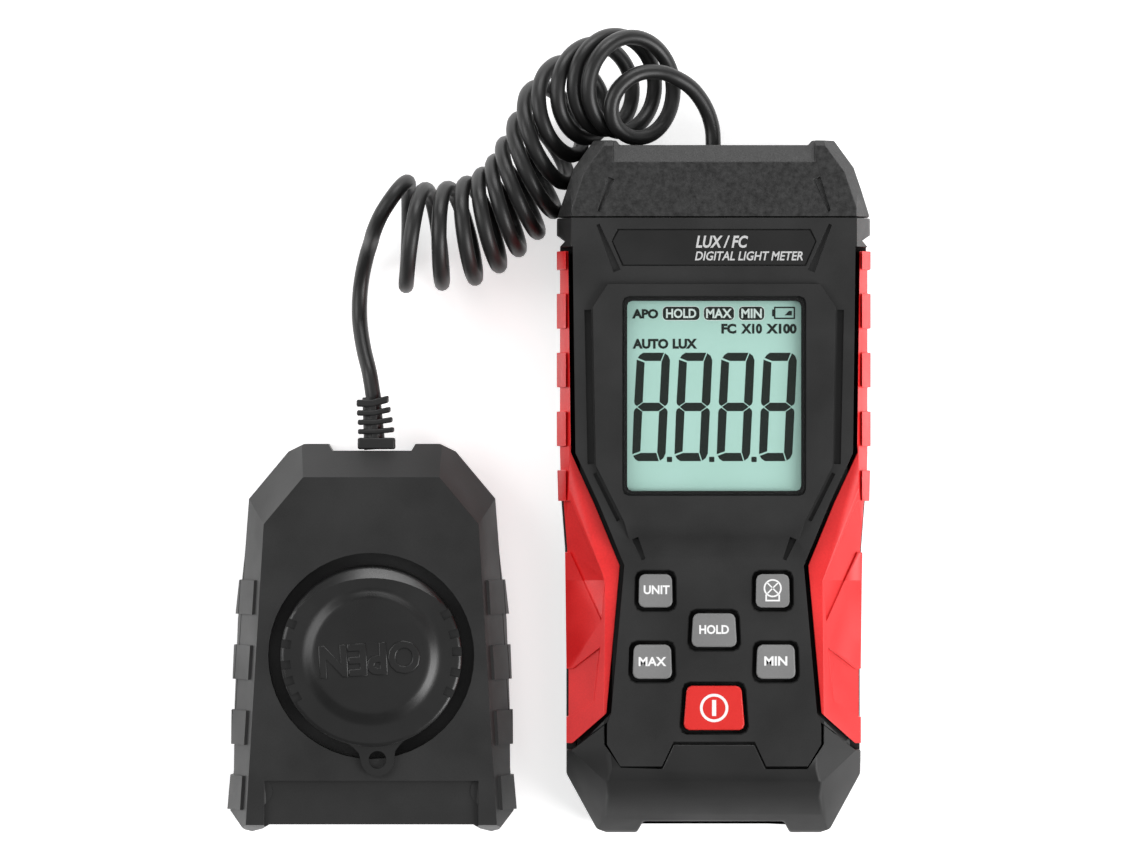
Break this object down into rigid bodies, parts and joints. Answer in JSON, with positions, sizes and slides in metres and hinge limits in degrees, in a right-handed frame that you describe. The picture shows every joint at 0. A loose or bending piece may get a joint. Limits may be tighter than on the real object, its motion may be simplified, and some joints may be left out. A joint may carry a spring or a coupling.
{
  "type": "handheld light meter",
  "caption": "Handheld digital light meter with LCD, keypad and rubber side grips, and a capped sensor probe on a curly cord.",
  "frame": {"origin": "centre of the meter's flat back, on the surface it lies on", "axes": "+Z out of the display, +Y along the meter towards the cord end, +X to the right of the display"},
  "size_m": [0.1414, 0.1763, 0.033],
  "materials": {
    "case_plastic": "fine spark-eroded ABS",
    "cap_plastic": "coarse textured ABS",
    "bumper_rubber": "satin black overmould",
    "grip_rubber": "satin red overmould",
    "plate_plastic": "printed film",
    "window": "clear acrylic",
    "lcd_glass": "pale green polariser",
    "light_guide": "frosted acrylic",
    "zebra_rubber": "silicone",
    "board": "green solder mask",
    "chip": "moulded epoxy",
    "mat_rubber": "silicone",
    "key_grey": "satin",
    "key_red": "satin",
    "battery_sleeve": "printed film",
    "contact_steel": "nickel plated spring steel",
    "screw_steel": "zinc plated",
    "diffuser_plastic": "opal PMMA",
    "filter_glass": "green correction glass",
    "cord_rubber": "satin PU jacket"
  },
  "bodies": {
    "meter": {"front_shell": "case_plastic", "rear_shell": "case_plastic", "top_cap": "cap_plastic", "bottom_bumper": "bumper_rubber", "grip_right": "grip_rubber", "grip_left": "grip_rubber", "name_plate": "plate_plastic", "lcd_window": "window", "lcd_frame": "case_plastic", "lcd_panel": "lcd_glass", "backlight_panel": "light_guide", "zebra_strip": "zebra_rubber", "main_pcb": "board", "mcu_chip": "chip", "keypad_mat": "mat_rubber", "cord_grommet": "cord_rubber", "cord_coil": "cord_rubber", "cord_lead_meter": "cord_rubber", "cord_lead_probe": "cord_rubber", "battery_1": "battery_sleeve", "battery_spring_1": "contact_steel", "battery_plate_1": "contact_steel", "battery_2": "battery_sleeve", "battery_spring_2": "contact_steel", "battery_plate_2": "contact_steel", "battery_3": "battery_sleeve", "battery_spring_3": "contact_steel", "battery_plate_3": "contact_steel", "case_screw_1": "screw_steel", "case_screw_2": "screw_steel", "case_screw_3": "screw_steel", "case_screw_4": "screw_steel"},
    "unit_button": {"key_unit": "key_grey"},
    "lamp_button": {"key_lamp": "key_grey"},
    "hold_button": {"key_hold": "key_grey"},
    "max_button": {"key_max": "key_grey"},
    "min_button": {"key_min": "key_grey"},
    "power_button": {"key_power": "key_red"},
    "battery_cover": {"battery_door": "case_plastic"},
    "cover_screw": {"battery_screw": "screw_steel"},
    "probe": {"probe_front_shell": "case_plastic", "probe_rear_shell": "case_plastic", "diffuser_dome": "diffuser_plastic", "diffuser_ring": "case_plastic", "colour_filter": "filter_glass", "photodiode": "chip", "probe_pcb": "board", "probe_strain_relief": "cord_rubber", "probe_screw_1": "screw_steel", "probe_screw_2": "screw_steel", "probe_screw_3": "screw_steel", "probe_screw_4": "screw_steel"},
    "cap": {"probe_cap": "case_plastic"}
  },
  "joints": [
    {"name": "unit_press", "type": "slide", "parent": "meter", "child": "unit_button", "axis": [0, 0, -1], "range_m": [0, 0.001], "stiffness_N_per_m": 300},
    {"name": "lamp_press", "type": "slide", "parent": "meter", "child": "lamp_button", "axis": [0, 0, -1], "range_m": [0, 0.001], "stiffness_N_per_m": 300},
    {"name": "hold_press", "type": "slide", "parent": "meter", "child": "hold_button", "axis": [0, 0, -1], "range_m": [0, 0.001], "stiffness_N_per_m": 300},
    {"name": "max_press", "type": "slide", "parent": "meter", "child": "max_button", "axis": [0, 0, -1], "range_m": [0, 0.001], "stiffness_N_per_m": 300},
    {"name": "min_press", "type": "slide", "parent": "meter", "child": "min_button", "axis": [0, 0, -1], "range_m": [0, 0.001], "stiffness_N_per_m": 300},
    {"name": "power_press", "type": "slide", "parent": "meter", "child": "power_button", "axis": [0, 0, -1], "range_m": [0, 0.001], "stiffness_N_per_m": 300},
    {"name": "battery_door_lift", "type": "slide", "parent": "meter", "child": "battery_cover", "axis": [0, 0, -1], "range_m": [0, 0.025]},
    {"name": "battery_screw_turn", "type": "hinge", "parent": "battery_cover", "child": "cover_screw", "pos_m": [0, -0.0552, 0.002], "axis": [0, 0, 1], "continuous": true},
    {"name": "probe_pull", "type": "slide", "parent": "meter", "child": "probe", "axis": [-1, 0, 0], "range_m": [0, 0.06], "stiffness_N_per_m": 40, "deforming": ["cord_coil", "cord_lead_probe"]},
    {"name": "probe_cap_lift", "type": "slide", "parent": "probe", "child": "cap", "axis": [0, 0, 1], "range_m": [0, 0.03]}
  ]
}
